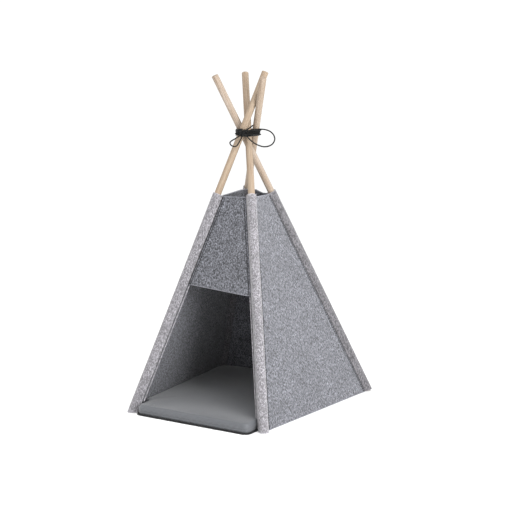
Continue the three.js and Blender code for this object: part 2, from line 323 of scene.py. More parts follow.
def through(points, gap):
    """A smooth line through the points: centripetal Catmull-Rom, whose knots are spaced by the
    square root of the distance between points."""
    p = np.asarray(points, float)
    p = np.concatenate([[2 * p[0] - p[1]], p, [2 * p[-1] - p[-2]]])
    t = np.concatenate([[0], np.cumsum(np.sqrt(np.linalg.norm(np.diff(p, axis=0), axis=1)))])
    pieces = []
    for i in range(1, len(p) - 2):
        at = np.linspace(t[i], t[i + 1], 24, endpoint=False)[:, None]

        def mix(a, b, left, right):
            return (a * (t[right] - at) + b * (at - t[left])) / (t[right] - t[left])

        a1, a2, a3 = [mix(p[j], p[j + 1], j, j + 1) for j in (i - 1, i, i + 1)]
        pieces.append(mix(mix(a1, a2, i - 1, i + 1), mix(a2, a3, i, i + 2), i, i + 1))
    return evenly(np.concatenate(pieces + [p[-2:-1]]), gap)


def waves(x, y, seed, size, count=5):
    """A smooth random field from -1 to 1: sines whose wavelengths lie round the given size."""
    draw = np.random.default_rng(seed)
    total = np.zeros(np.broadcast(x, y).shape)
    for _ in range(count):
        way, shift = draw.uniform(0, 2 * np.pi, 2)
        number = 2 * np.pi / (size * draw.uniform(0.7, 1.6))
        total += np.sin(number * (x * np.cos(way) + y * np.sin(way)) + shift)
    return total / count


# ---------------------------------------------------------------- materials

def add_node(tree, kind, inputs=None, **fields):
    """Adds a node, sets its fields, and gives each input a value or a link from another socket."""
    node = tree.nodes.new(kind)
    for field, value in fields.items():
        setattr(node, field, value)
    for key, value in (inputs or {}).items():
        if isinstance(value, bpy.types.NodeSocket):
            tree.links.new(value, node.inputs[key])
        else:
            node.inputs[key].default_value = value
    return node


def new_material(name, fields):
    """A material with one principled shader, whose sockets are set from fields."""
    material = bpy.data.materials.new(name)
    material.use_nodes = True
    tree = material.node_tree
    tree.nodes.clear()
    shader = add_node(tree, "ShaderNodeBsdfPrincipled", fields)
    add_node(tree, "ShaderNodeOutputMaterial", {"Surface": shader.outputs[0]})
    return material, tree, shader


def rgba(rgb, factor=1.0):
    return tuple(min(1.0, c * factor) for c in rgb) + (1.0,)


def blend_colours(tree, factor, a, b):
    """The two colours mixed by a factor; each is a colour or a socket."""
    return add_node(tree, "ShaderNodeMix", {0: factor, 6: a, 7: b}, data_type="RGBA").outputs[2]


def ranged(tree, value, low, high, to_low=0.0, to_high=1.0):
    """A value stretched from low..high to to_low..to_high, and held at both."""
    fields = {"Value": value, "From Min": low, "From Max": high, "To Min": to_low, "To Max": to_high}
    return add_node(tree, "ShaderNodeMapRange", fields).outputs["Result"]


# What is left of a felt's tone where it is darkened most: painted shade, and on the sleeves also a darker
# piece of felt
FULL_DARKENING = 0.5


def felt_material(name, middle, seed, contrast):
    """Needle-punched wool and polyester felt: matt, heathered by short fibres of three greys that
    lie mostly up and down, with pale flecks. Its cut edges carry a painted highlight, painted paler
    as edges that catch the light. A darkening attribute paints shade on whole pieces: on the walls
    it is painted shade, on the sleeves partly painted shade and partly a tone that differs between pieces."""
    fields = {"Roughness": 0.94, "Specular IOR Level": 0.18, "Sheen Weight": 0.25, "Sheen Roughness": 0.6}
    material, tree, shader = new_material(name, fields)
    place = add_node(tree, "ShaderNodeTexCoord").outputs["Object"]
    moved = add_node(tree, "ShaderNodeMapping",
                     {"Vector": place, "Location": (seed, seed * 0.7, 0)}).outputs[0]
    lengthwise = add_node(tree, "ShaderNodeMapping", {"Vector": moved, "Scale": (1, 1, 0.4)}).outputs[0]
    # Fibre tufts about 2.5 mm wide and 6 mm long: single fibres are far too fine to show
    tufts = add_node(tree, "ShaderNodeTexNoise",
                     {"Vector": lengthwise, "Scale": 1 / (2.5 * MM), "Detail": 2.0, "Roughness": 0.6,
                      "Distortion": 0.6}).outputs[0]
    # Clumps of pale and of dark fibres about 2 mm wide
    fibres = add_node(tree, "ShaderNodeTexNoise",
                      {"Vector": lengthwise, "Scale": 1 / (1.9 * MM), "Detail": 1.0, "Roughness": 0.6,
                       "Distortion": 0.5}).outputs[0]
    clouds = add_node(tree, "ShaderNodeTexNoise",
                      {"Vector": moved, "Scale": 1 / (38 * MM), "Detail": 2.0, "Roughness": 0.5}).outputs[0]
    shade = blend_colours(tree, ranged(tree, tufts, 0.42, 0.58), rgba(middle, 0.34), rgba(middle, 1.7))
    shade = blend_colours(tree, ranged(tree, fibres, 0.54, 0.66, 0, 0.9), shade, rgba(middle, 3.1))
    shade = blend_colours(tree, ranged(tree, fibres, 0.44, 0.33, 0, 0.85), shade, rgba(middle, 0.22))
    shade = blend_colours(tree, contrast, rgba(middle, 1.08), shade)
    shade = blend_colours(tree, ranged(tree, clouds, 0.35, 0.65, 0, 0.25), shade, rgba(middle, 0.6))
    # Painted highlight: cut edges are painted paler, as edges that catch the light
    edge_highlight = add_node(tree, "ShaderNodeAttribute", attribute_name="edge_highlight").outputs["Fac"]
    shade = blend_colours(tree, ranged(tree, edge_highlight, 0, 1, 0, 0.75), shade, rgba(middle, 2.5))
    # Painted shade: whole pieces are darkened where less light falls on them, and on the sleeves partly also
    # for a darker piece of felt
    darkening = add_node(tree, "ShaderNodeAttribute", attribute_name="darkening").outputs["Fac"]
    darker = add_node(tree, "ShaderNodeMix",
                      {0: ranged(tree, darkening, 0, 1), 6: shade, 7: rgba([FULL_DARKENING] * 3)},
                      data_type="RGBA", blend_type="MULTIPLY").outputs[2]
    tree.links.new(darker, shader.inputs["Base Color"])
    height = add_node(tree, "ShaderNodeMath", {0: tufts, 1: fibres}, operation="ADD").outputs[0]
    bump = add_node(tree, "ShaderNodeBump", {"Height": height, "Strength": 0.55, "Distance": 0.9 * MM})
    tree.links.new(bump.outputs[0], shader.inputs["Normal"])
    return material


def wood_material(wood):
    """Sanded, unvarnished softwood dowel: pale, with growth rings that show as long streaks on the
    side and as rings on the ends, fine pores along it and a few small knots."""
    material, tree, shader = new_material("sanded_softwood", {"Roughness": 0.62, "Specular IOR Level": 0.35})
    # The local place on the dowel, in metres: across, outward and up from its foot
    local = add_node(tree, "ShaderNodeAttribute", attribute_name="on_dowel").outputs["Vector"]
    tint = add_node(tree, "ShaderNodeAttribute", attribute_name="tint").outputs["Fac"]
    streaked = add_node(tree, "ShaderNodeMapping", {"Vector": local, "Scale": (1, 1, 0.03)}).outputs[0]
    # Growth rings about 2.4 mm apart
    rings = add_node(tree, "ShaderNodeTexNoise",
                     {"Vector": streaked, "Scale": 1 / (2.4 * MM), "Detail": 3.0, "Roughness": 0.55,
                      "Distortion": 0.9}).outputs[0]
    # Pores 0.7 mm apart
    pores = add_node(tree, "ShaderNodeTexNoise",
                     {"Vector": streaked, "Scale": 1 / (0.7 * MM), "Detail": 2.0,
                      "Roughness": 0.6}).outputs[0]
    # Broad patches of heartwood, and a knot about each 34 mm
    broad = add_node(tree, "ShaderNodeMapping", {"Vector": local, "Scale": (1, 1, 0.25)}).outputs[0]
    patches = add_node(tree, "ShaderNodeTexNoise",
                       {"Vector": broad, "Scale": 1 / (16 * MM), "Detail": 1.0}).outputs[0]
    stretched = add_node(tree, "ShaderNodeMapping", {"Vector": local, "Scale": (1, 1, 0.55)}).outputs[0]
    knots = add_node(tree, "ShaderNodeTexVoronoi",
                     {"Vector": stretched, "Scale": 1 / (34 * MM), "Randomness": 1.0}).outputs["Distance"]
    yellower = (wood.pale[0] * 0.86, wood.pale[1] * 0.8, wood.pale[2] * 0.7, 1)
    pale = blend_colours(tree, tint, rgba(wood.pale), yellower)
    shade = blend_colours(tree, ranged(tree, rings, 0.42, 0.66, 0, 0.75), pale, rgba(wood.dark))
    shade = blend_colours(tree, ranged(tree, pores, 0.58, 0.75, 0, 0.3), shade, rgba(wood.dark, 0.7))
    shade = blend_colours(tree, ranged(tree, patches, 0.35, 0.7, 0, 0.3), shade, rgba(wood.dark, 1.05))
    shade = blend_colours(tree, ranged(tree, knots, 0.15, 0.07, 0, 0.9), shade, rgba(wood.knot))
    tree.links.new(shade, shader.inputs["Base Color"])
    bump = add_node(tree, "ShaderNodeBump", {"Height": pores, "Strength": 0.25, "Distance": 0.3 * MM})
    tree.links.new(bump.outputs[0], shader.inputs["Normal"])
    return material


def cloth_material(name, middle, thread, rough, sheen):
    """Close plain-weave polyester: warp and weft show as a fine grid of bumps, with slight wear
    and dust clouds in its tone. The thread spacing is given far coarser than the real one, which
    is too fine to show."""
    fields = {"Roughness": rough, "Specular IOR Level": 0.3, "Sheen Weight": sheen, "Sheen Roughness": 0.4}
    material, tree, shader = new_material(name, fields)
    place = add_node(tree, "ShaderNodeTexCoord").outputs["Object"]
    # A wave texture of scale 1 repeats every tau / 20
    number = math.tau / 20 / thread
    warp = add_node(tree, "ShaderNodeTexWave",
                    {"Vector": place, "Scale": number, "Distortion": 0.6, "Detail Scale": 2.0},
                    bands_direction="X").outputs["Fac"]
    weft = add_node(tree, "ShaderNodeTexWave",
                    {"Vector": place, "Scale": number, "Distortion": 0.6, "Detail Scale": 2.0},
                    bands_direction="Y").outputs["Fac"]
    weave = add_node(tree, "ShaderNodeMath", {0: warp, 1: weft}, operation="MULTIPLY").outputs[0]
    clouds = add_node(tree, "ShaderNodeTexNoise",
                      {"Vector": place, "Scale": 1 / (55 * MM), "Detail": 3.0, "Roughness": 0.6}).outputs[0]
    slubs = add_node(tree, "ShaderNodeTexNoise",
                     {"Vector": place, "Scale": 1 / (2.2 * MM), "Detail": 2.0, "Roughness": 0.7}).outputs[0]
    # Painted shade in the weave's hollows and painted highlight on its crossings
    shade = blend_colours(tree, ranged(tree, weave, 0.1, 0.8), rgba(middle, 0.86), rgba(middle, 1.1))
    shade = blend_colours(tree, ranged(tree, slubs, 0.35, 0.7, 0, 0.35), shade, rgba(middle, 1.25))
    shade = blend_colours(tree, ranged(tree, clouds, 0.35, 0.65, 0, 0.4), shade, rgba(middle, 0.84))
    tree.links.new(shade, shader.inputs["Base Color"])
    bump = add_node(tree, "ShaderNodeBump", {"Height": weave, "Strength": 0.35, "Distance": thread * 0.3})
    tree.links.new(bump.outputs[0], shader.inputs["Normal"])
    return material


def cord_material(dye):
    """Round braided polyester cord: black, with the slight gloss of its strands, whose criss-cross
    winds both ways round it. The strands' crests are painted lighter and the grooves between them
    darker: painted highlight and painted shade."""
    material, tree, shader = new_material("braided_cord", {"Roughness": 0.6, "Specular IOR Level": 0.22,
                                                           "Sheen Weight": 0.02})
    uv = add_node(tree, "ShaderNodeUVMap", uv_map="UVMap").outputs[0]
    # Six strands each way round the cord, crossing each 1.6 mm along it. A diagonal wave texture of
    # scale 0.5 repeats every tau / 5
    repeat = math.tau / 5
    scaled = add_node(tree, "ShaderNodeMapping",
                      {"Vector": uv, "Scale": (6 * repeat, repeat / (1.6 * MM), 1)}).outputs[0]
    one = add_node(tree, "ShaderNodeTexWave", {"Vector": scaled, "Scale": 0.5, "Distortion": 0.4},
                   bands_direction="DIAGONAL").outputs["Fac"]
    turned = add_node(tree, "ShaderNodeMapping", {"Vector": scaled, "Scale": (-1, 1, 1)}).outputs[0]
    two = add_node(tree, "ShaderNodeTexWave", {"Vector": turned, "Scale": 0.5, "Distortion": 0.4},
                   bands_direction="DIAGONAL").outputs["Fac"]
    braid = add_node(tree, "ShaderNodeMath", {0: one, 1: two}, operation="MULTIPLY").outputs[0]
    # Painted highlight on the strands' crests and painted shade in the grooves between them
    shade = blend_colours(tree, ranged(tree, braid, 0.1, 0.9), rgba(dye, 0.5), rgba(dye, 2.2))
    tree.links.new(shade, shader.inputs["Base Color"])
    bump = add_node(tree, "ShaderNodeBump", {"Height": braid, "Strength": 0.5, "Distance": 0.3 * MM})
    tree.links.new(bump.outputs[0], shader.inputs["Normal"])
    return material


def speckled_material(name, middle, grain, rough, metallic=0.0, contrast=0.25):
    """A plain moulded, plated or foamed surface, with a fine random grain of the given size in its
    tone and its relief."""
    material, tree, shader = new_material(name, {"Roughness": rough, "Metallic": metallic})
    place = add_node(tree, "ShaderNodeTexCoord").outputs["Object"]
    speck = add_node(tree, "ShaderNodeTexNoise",
                     {"Vector": place, "Scale": 1 / grain, "Detail": 3.0, "Roughness": 0.6}).outputs[0]
    shade = blend_colours(tree, ranged(tree, speck, 0.3, 0.7),
                          rgba(middle, 1 - contrast), rgba(middle, 1 + contrast))
    tree.links.new(shade, shader.inputs["Base Color"])
    bump = add_node(tree, "ShaderNodeBump", {"Height": speck, "Strength": 0.3, "Distance": grain * 0.3})
    tree.links.new(bump.outputs[0], shader.inputs["Normal"])
    return material


def material_named(name, make, *values):
    """The material of that name, made once."""
    return bpy.data.materials.get(name) or make(*values)


# ---------------------------------------------------------------- operators

def way_out(turn, rise):
    """The way out from the tent, so many degrees round it from the doorway and above the floor."""
    turn, rise = math.radians(turn), math.radians(rise)
    return Vector((math.sin(turn) * math.cos(rise), -math.cos(turn) * math.cos(rise), math.sin(rise)))


# Each lamp: its place round the tent and above the floor in degrees, its distance and width in
# metres, and its share of the power
LAMPS = {
    "key_lamp": (68, 14, 2.6, 1.5, 0.9),
    "left_lamp": (-72, 12, 3.0, 1.2, 0.2),
    "top_lamp": (42, 56, 2.8, 1.0, 0.42),
}
LAMP_AIM = Vector((0, 0, 0.25))
FLOOR_HALF_WIDTH = 12.0


class TEEPEE_OT_stage(bpy.types.Operator):
    """Camera, pale floor, white surround and soft lamps"""
    bl_idname = "teepee.stage"
    bl_label = "Stage"

    def execute(self, context):
        stage = settings().stage
        back = way_out(stage.azimuth, stage.elevation)
        camera = bpy.data.objects.new("camera", bpy.data.cameras.new("camera"))
        camera.location = Vector((0, 0, stage.aim)) + back * stage.distance
        camera.rotation_euler = (-back).to_track_quat("-Z", "Y").to_euler()
        camera.data.lens = stage.lens
        camera.data.shift_x, camera.data.shift_y = stage.shift_x, stage.shift_y
        context.scene.collection.objects.link(camera)
        context.scene.camera = camera
        context.scene.view_settings.view_transform = "Standard"

        corners = np.array([[-1, -1, 0], [1, -1, 0], [1, 1, 0], [-1, 1, 0]]) * FLOOR_HALF_WIDTH
        material = speckled_material("matt_paper_floor", stage.floor, 3 * MM, 0.9, contrast=0.01)
        floor = make_piece("floor", corners - [0, 0, 0.2 * MM], [np.array([[0, 1, 2, 3]])], material)

        world = bpy.data.worlds.new("studio")
        world.use_nodes = True
        world.node_tree.nodes["Background"].inputs["Color"].default_value = (1, 1, 1, 1)
        world.node_tree.nodes["Background"].inputs["Strength"].default_value = stage.sky
        context.scene.world = world
        for name, (turn, rise, far, width, share) in LAMPS.items():
            lamp = bpy.data.objects.new(name, bpy.data.lights.new(name, "AREA"))
            lamp.data.energy, lamp.data.size = stage.key * share, width
            place = way_out(turn, rise)
            lamp.location = place * far + LAMP_AIM
            lamp.rotation_euler = (-place).to_track_quat("-Z", "Y").to_euler()
            context.scene.collection.objects.link(lamp)
        return {"FINISHED"}


# The bow's route, as points across the front, up and out from the middle of the knot, millimetres
BOW_LOOPS = {
    "bow_loop_left": [
        (-9.5, -9, -2.5), (-17, -13.5, -0.5), (-25, -18, 0.5), (-29, -22.5, 1), (-27, -27.5, 1.5),
        (-20.5, -31, 1.5), (-14, -30, 1), (-9.5, -24, 0), (-5.5, -17, -1.5), (-2.5, -11.4, -2.5)],
    "bow_loop_right": [
        (9.8, 2, 0.5), (19, 6.5, 3), (30, 8, 4), (42, 8.5, 3.5), (54, 7, 3), (64, 2.5, 2.5),
        (71, -5, 2.5), (73.5, -14.5, 2.5), (69, -24.5, 3), (60, -30, 3.5), (48.5, -31.5, 4),
        (37, -28.5, 4), (26, -23, 3.5), (17, -15.5, 2.5), (9.4, -7, 0.5)],
}
KNOT_TAIL = [(1, 2.5, 0.5), (5.5, 5.2, 2), (10, 7.6, 3), (15.5, 11.2, 4.5), (20.3, 14.9, 5.6), (24, 18, 6.5)]
# The knot's bands, each as its place across, its lean, its half height and its half depth, and the
# leads that run through them, in the same millimetres
KNOT_BANDS = ((-5.2, 0.25, 7.2, 4.4), (-1.6, -0.1, 8.0, 5.0), (2.0, 0.2, 7.6, 4.8))
KNOT_LEADS = (
    [(-10.5, -9.6, -2.4), (-7, -5, 0.5), (-2, -1, 1.5), (4, 2, 1.5), (10.5, 2.4, 0.6)],
    [(10.2, -7.4, 0.4), (5, -4.5, 1.5), (0, -4, 1), (-4, 0, -0.5), (-8, 4, -3)],
    [(-3, -12, -2.4), (-1.5, -8, 0.2), (-3, -2, 0.5), (-5, 4, -1), (-6, 8, -4)],
)
CORD_STEP, TURN_STEP, CORD_SIDES, BRAID_RELIEF = 0.8 * MM, 0.9 * MM, 12, 0.06
KNOT_TURN = math.radians(30)
ACROSS = np.array([math.cos(KNOT_TURN), math.sin(KNOT_TURN), 0.0])
OUT = np.array([math.sin(KNOT_TURN), -math.cos(KNOT_TURN), 0.0])


def knot_place(points):
    """Points given across, up and out from the knot, in the tent's own frame."""
    centre = np.mean([list(corner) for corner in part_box("lashing_knot")], 0)
    across, up, out = (np.asarray(points, float) * MM).T
    return centre + across[:, None] * ACROSS + up[:, None] * [0, 0, 1] + out[:, None] * OUT


class TEEPEE_OT_bow(bpy.types.Operator):
    """The two loops of the bow, each a free cord from the knot and back into it"""
    bl_idname = "teepee.bow"
    bl_label = "Bow"

    def execute(self, context):
        cord = settings().cord
        material = material_named("braided_cord", cord_material, cord.dye)
        for node, route in BOW_LOOPS.items():
            path = through(knot_place(route), CORD_STEP)
            points, faces, uv = tube(path, cord.diameter / 2, CORD_SIDES, ridge=BRAID_RELIEF)
            piece = make_piece(f"{node}_cord", points, faces, material, uv=uv)
            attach(piece, "base")
            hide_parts(node)
        return {"FINISHED"}


def braided(name, paths, closed=()):
    """One piece of braided cord along several paths; those whose numbers are in closed are rings."""
    cord = settings().cord
    material = material_named("braided_cord", cord_material, cord.dye)
    shapes = [tube(path, cord.diameter / 2, CORD_SIDES, ridge=BRAID_RELIEF, closed=i in closed)
              for i, path in enumerate(paths)]
    points, faces, uv = joined(shapes)
    piece = make_piece(name, points, faces, material, uv=uv)
    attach(piece, "base")
    return piece


def round_poles(angle, height, stand_off):
    """Where a cord pulled round the poles lies: facing each angle, it touches the pole that reaches
    furthest that way. A slanting pole is an ellipse at one height, and reaches its radius times the
    root of one plus the slant that way squared."""
    facing = np.stack([np.cos(angle), np.sin(angle), np.zeros_like(angle)], -1)
    reach, centres = [], []
    for pole in POLES.values():
        slant = pole["up"] / pole["up"][2]
        centre = at_height(pole, height)
        wide = pole["radius"] * np.sqrt(1 + (facing @ (slant * [1, 1, 0])) ** 2)
        reach.append((centre * facing).sum(-1) + wide)
        centres.append(centre + wide[:, None] * facing)
    furthest = np.argmax(reach, axis=0)
    touch = np.array(centres)[furthest, np.arange(len(angle))]
    return touch + stand_off * facing


class TEEPEE_OT_lashing(bpy.types.Operator):
    """The cord turns round the poles, the knot in front of them and its free end"""
    bl_idname = "teepee.lashing"
    bl_label = "Lashing"

    def execute(self, context):
        cord = settings().cord
        low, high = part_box("lashing_wrap")
        middle, half = (low.z + high.z) / 2, (high.z - low.z) / 2 - cord.diameter / 2
        start = KNOT_TURN - math.pi / 2
        turn = np.linspace(0, cord.turns, cord.turns * 360)
        angle = start + 2 * np.pi * turn
        level = middle + half * (2 * turn / cord.turns - 1) + 0.5 * MM * np.sin(3 * angle)
        gap = cord.diameter * 0.68
        spiral = evenly(round_poles(angle, level, gap), TURN_STEP)
        # Two outer turns run slantwise over the level ones and hold them together
        sweep = start + np.linspace(0, 4 * np.pi, 720)
        slant = middle + half * 0.85 * np.sin(sweep / 2 - start / 2 + 0.4)
        outer = evenly(round_poles(sweep, slant, gap + cord.diameter * 0.9), TURN_STEP)
        wrap = braided("lashing_turns", [spiral, outer])
        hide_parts("lashing_wrap")

        ring = np.linspace(0, 2 * np.pi, 48, endpoint=False)
        bands = []
        for place, lean, tall, deep in KNOT_BANDS:
            side = place + lean * tall * np.sin(ring)
            bands.append(knot_place(np.stack([side, tall * np.sin(ring), deep * np.cos(ring)], -1)))
        leads = [through(knot_place(lead), CORD_STEP) for lead in KNOT_LEADS]
        knot = braided("bow_knot", bands + leads, closed=range(len(bands)))
        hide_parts("lashing_knot")
        tail = braided("cord_tail", [through(knot_place(KNOT_TAIL), CORD_STEP)])
        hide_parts("knot_tail")
        return {"FINISHED"}


# How yellow each dowel's wood is, from 0 to 1
POLE_TINTS = {"front_left": 0.9, "front_right": 0.85, "back_right": 0.0, "back_left": 0.35}


class TEEPEE_OT_poles(bpy.types.Operator):
    """Four sanded dowels"""
    bl_idname = "teepee.poles"
    bl_label = "Poles"

    def execute(self, context):
        wood = settings().wood
        material = wood_material(wood)
        sides, bend, rounding = 48, np.linspace(0, np.pi / 2, 7), wood.end_round
        for i, (corner, pole) in enumerate(POLES.items()):
            long, radius = np.linalg.norm(pole["top"] - pole["foot"]), pole["radius"]
            # Profile as (radius, height): a flat end, a rounded edge, the side, and the same again
            edge = np.stack([radius - rounding * (1 - np.sin(bend)), rounding * (1 - np.cos(bend))], -1)
            body = np.stack([np.full(60, radius), np.linspace(rounding, long - rounding, 62)[1:-1]], -1)
            flat = np.array([[radius * 0.35, 0], [radius * 0.7, 0]])
            lower = np.concatenate([flat, edge])
            profile = np.concatenate([lower, body, ([0, long] + lower * [1, -1])[::-1]])
            angle = np.linspace(0, 2 * np.pi, sides, endpoint=False)
            # The sanded side is out of round by a tenth of a millimetre
            uneven = 1 - 0.012 * (1 + waves(angle[None] * 6 * MM, profile[:, 1:], 30 + i, 120 * MM)) / 2
            reach = profile[:, :1] * uneven
            up = np.broadcast_to(profile[:, 1:], reach.shape)
            local = np.stack([reach * np.cos(angle), reach * np.sin(angle), up], -1).reshape(-1, 3)
            local = np.concatenate([local, [[0, 0, 0], [0, 0, long]]])
            points = pole["foot"] + local @ np.array([pole["across"], pole["outward"], pole["up"]])
            # Each dowel is cut from another place in the wood
            attributes = {"on_dowel": local + [0.11 * i, 0.07 * i, 0.4 * i],
                          "tint": np.full(len(points), POLE_TINTS[corner])}
            piece = make_piece(f"dowel_{corner}", points, closed_ends(len(profile), sides), material,
                               attributes, crease=50)
            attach(piece, f"pole_{corner}")
            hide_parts(f"pole_{corner}")
        return {"FINISHED"}


# Each wall: the poles at its two ends, seen from outside with the left one first, its body, what it
# would keep of its width folded, which here only gives its pieces their own meshes, and how far its
# two seams gape, as a share of the groove
WALLS = {
    "panel_front": ("front_left", "front_right", "base", FRONT_KEEP, 2.9, 0.6),
    "panel_right": ("front_right", "back_right", "right_side", None, 0.6, 3.0),
    "panel_back": ("back_right", "back_left", "base", BACK_KEEP, 1.2, 1.2),
    "panel_left": ("back_left", "front_left", "left_side", None, 1.6, 1.0),
}


def sleeve_corner():
    """From a pole's axis to the inner corner of its sleeve, along the wall that meets it."""
    pole = POLES["front_left"]
    inner = node_points("sleeve_front_left") - pole["foot"]
    return np.abs(inner @ pole["across"]).max() * math.sqrt(2)


class Wall:
    """A wall's middle surface. At each height it is a straight line from pole to pole; it starts a
    groove's width past one sleeve's inner corner and ends so far short of the other's, and its
    middle is bowed by a smooth random field that fades to nothing at the seams."""

    def __init__(self, node, felt):
        self.left, self.right, self.body, self.keep, *gape = WALLS[node]
        self.node, self.felt = node, felt
        self.a, self.b = POLES[self.left], POLES[self.right]
        self.start, self.stop = [sleeve_corner() + felt.groove * share for share in gape]
        points = node_points(node)
        self.top = points[:, 2].max()
        across = unit(at_height(self.b, 0.0) - at_height(self.a, 0.0))
        place = (points - at_height(self.a, points[:, 2])) @ across
        low = points[:, 2] < (points[:, 2].min() + self.top) / 2
        near = place < np.median(place)
        self.low = [points[low & near, 2].min(), points[low & ~near, 2].min()]
        self.rise = [felt.back_rise if pole == "back_left" else 0.0 for pole in (self.left, self.right)]
        self.seed = 3 + list(WALLS).index(node)
        self.out = unit(np.array([*(at_height(self.a, 0.0) + at_height(self.b, 0.0))[:2], 0.0]))

    def heights(self, share, rows):
        """Heights from the lower edge to the top, both of which may slant."""
        low = self.low[0] + (self.low[1] - self.low[0]) * share
        top = self.top + self.rise[0] + (self.rise[1] - self.rise[0]) * share
        return low + rows[:, None] * (top - low)

    def surface(self, height, near, far):
        """Points, outward directions, directions along, the share across and the width, for places
        near from the left end and far from the right end; one of the two is nan and is worked out
        from the other."""
        a, b = at_height(self.a, height), at_height(self.b, height)
        wide = np.linalg.norm(b - a, axis=-1) - self.start - self.stop
        near = np.where(np.isnan(near), wide - far, near)
        along = unit(b - a)
        normal = unit(np.cross(along, self.a["up"] + self.b["up"]))
        normal = normal * np.sign((normal @ self.out))[..., None]
        share = near / wide
        fade = np.clip(np.sin(np.pi * np.clip(share, 0, 1)), 0, 1) ** 1.3
        bow = self.felt.bow * fade * (0.4 * waves(near, height, self.seed, 260 * MM)
                                      + 0.75 * waves(near, height, self.seed + 40, 620 * MM) - 0.35)
        points = a + (self.start + near)[..., None] * along + bow[..., None] * normal
        return points, normal, along, share, wide


# Painted shade: how far each wall's felt is darkened for the light it gets, the front wall most
WALL_PAINTED_SHADE = {"panel_front": 0.48, "panel_right": 0.12}


# The deepest that a row of stitches pulls the felt in, and how far to each side it does so
STITCH_PULL, STITCH_REACH = 0.62 * MM, 1.2 * MM


def stitched(distance, felt):
    """How deep a row of stitches pulls the felt in: a bell curve round the row, by the distance
    from the wall's edge."""
    return STITCH_PULL * np.exp(-((distance - felt.stitch_inset) / STITCH_REACH) ** 2)


